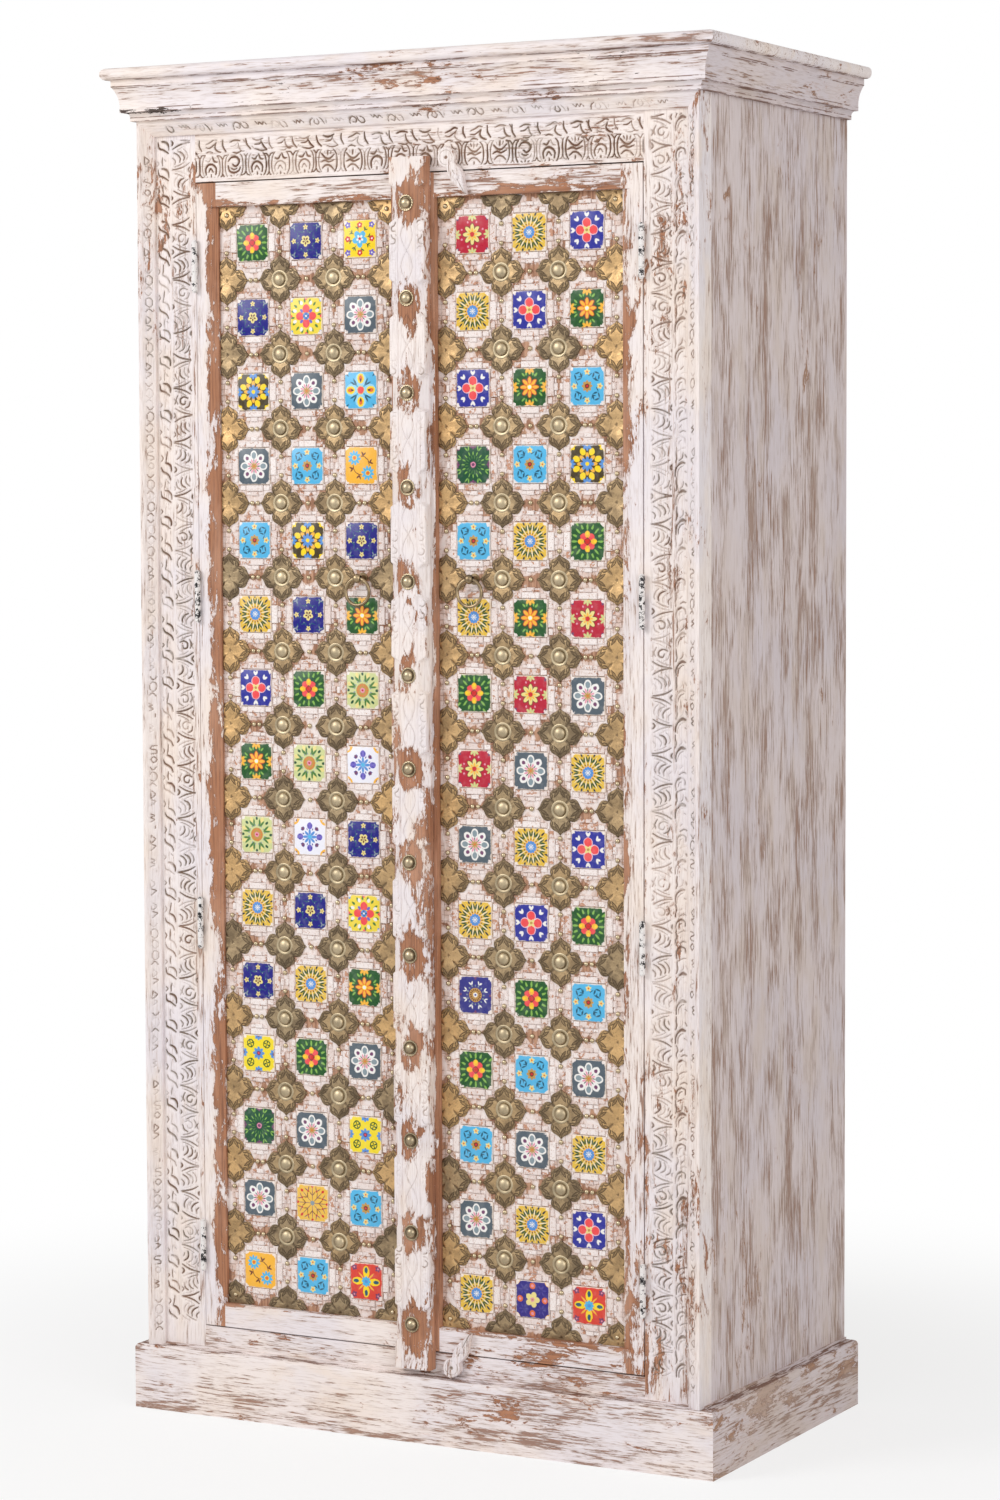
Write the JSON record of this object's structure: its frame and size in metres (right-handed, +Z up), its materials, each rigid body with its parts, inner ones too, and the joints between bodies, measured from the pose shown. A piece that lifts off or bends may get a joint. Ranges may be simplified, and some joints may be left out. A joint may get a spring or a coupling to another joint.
{
  "type": "carved cabinet",
  "caption": "Tall free-standing wardrobe of distressed painted wood with two tiled and brass-studded doors, carved face frame, cornice and plinth.",
  "frame": {"origin": "on the floor, under the middle of the whole cabinet", "axes": "+Z up, +X to the right as seen from the front, +Y to the back"},
  "size_m": [0.92, 0.51, 1.85],
  "materials": {
    "bare_wood": "raw",
    "brass": "aged",
    "hinge_metal": "chipped paint",
    "painted_wood": "distressed paint",
    "screw_metal": "dull",
    "tile": "glazed"
  },
  "bodies": {
    "carcass": {"left_side_panel": "painted_wood", "right_side_panel": "painted_wood", "back_panel": "bare_wood", "floor_board": "bare_wood", "top_board": "bare_wood", "shelf_1": "bare_wood", "shelf_2": "bare_wood", "shelf_3": "bare_wood", "shelf_battens": "bare_wood", "glue_blocks": "bare_wood", "door_stops": "bare_wood", "left_frame_stile": "painted_wood", "right_frame_stile": "painted_wood", "frame_top_rail": "painted_wood", "frame_bottom_rail": "painted_wood", "left_frame_moulding": "painted_wood", "right_frame_moulding": "painted_wood", "top_frame_moulding": "painted_wood", "crown_front": "painted_wood", "left_crown": "painted_wood", "right_crown": "painted_wood", "cornice_cap": "painted_wood", "plinth_front": "painted_wood", "left_plinth": "painted_wood", "right_plinth": "painted_wood", "plinth_back": "bare_wood", "hinge_frame_leaves": "hinge_metal", "hinge_pins": "hinge_metal", "hinge_frame_screws": "screw_metal"},
    "left_door": {"left_door_hinge_stile": "painted_wood", "left_door_meeting_stile": "painted_wood", "left_door_top_rail": "painted_wood", "left_door_bottom_rail": "painted_wood", "left_door_panel": "painted_wood", "left_tiles": "tile", "left_stepped_blocks": "painted_wood", "left_brass_flowers": "brass", "left_brass_studs": "brass", "left_hinge_door_leaves": "hinge_metal", "left_hinge_door_screws": "screw_metal", "left_ring_boss": "brass"},
    "right_door": {"right_door_hinge_stile": "painted_wood", "right_door_meeting_stile": "painted_wood", "right_door_top_rail": "painted_wood", "right_door_bottom_rail": "painted_wood", "right_door_panel": "painted_wood", "right_tiles": "tile", "right_stepped_blocks": "painted_wood", "right_brass_flowers": "brass", "right_brass_studs": "brass", "right_hinge_door_leaves": "hinge_metal", "right_hinge_door_screws": "screw_metal", "right_ring_boss": "brass", "astragal": "painted_wood", "astragal_studs": "brass", "catch_screws": "screw_metal"},
    "left_ring": {"left_pull_ring": "brass"},
    "right_ring": {"right_pull_ring": "brass"},
    "top_catch": {"top_catch": "painted_wood"},
    "bottom_catch": {"bottom_catch": "painted_wood"}
  },
  "joints": [
    {"name": "right_door_hinge", "type": "hinge", "parent": "carcass", "child": "right_door", "pos_m": [0.33825, -0.2094, 0.124], "axis": [0, 0, 1], "range_deg": [0, 120]},
    {"name": "left_door_hinge", "type": "hinge", "parent": "carcass", "child": "left_door", "pos_m": [-0.33825, -0.2094, 0.124], "axis": [0, 0, -1], "range_deg": [0, 120]},
    {"name": "right_ring_swing", "type": "hinge", "parent": "right_door", "child": "right_ring", "pos_m": [0.08529, -0.209, 1.15933], "axis": [-1, 0, 0], "range_deg": [0, 95]},
    {"name": "left_ring_swing", "type": "hinge", "parent": "left_door", "child": "left_ring", "pos_m": [-0.08529, -0.209, 1.15933], "axis": [-1, 0, 0], "range_deg": [0, 95]},
    {"name": "top_catch_turn", "type": "hinge", "parent": "right_door", "child": "top_catch", "pos_m": [0.071, -0.2053, 1.685], "axis": [0, -1, 0], "range_deg": [0, 120]},
    {"name": "bottom_catch_turn", "type": "hinge", "parent": "right_door", "child": "bottom_catch", "pos_m": [0.071, -0.2053, 0.132], "axis": [0, 1, 0], "range_deg": [0, 120]}
  ],
  "couplings": [
    {"joint": "left_door_hinge", "follows": "right_door_hinge", "ratio": 1}
  ]
}
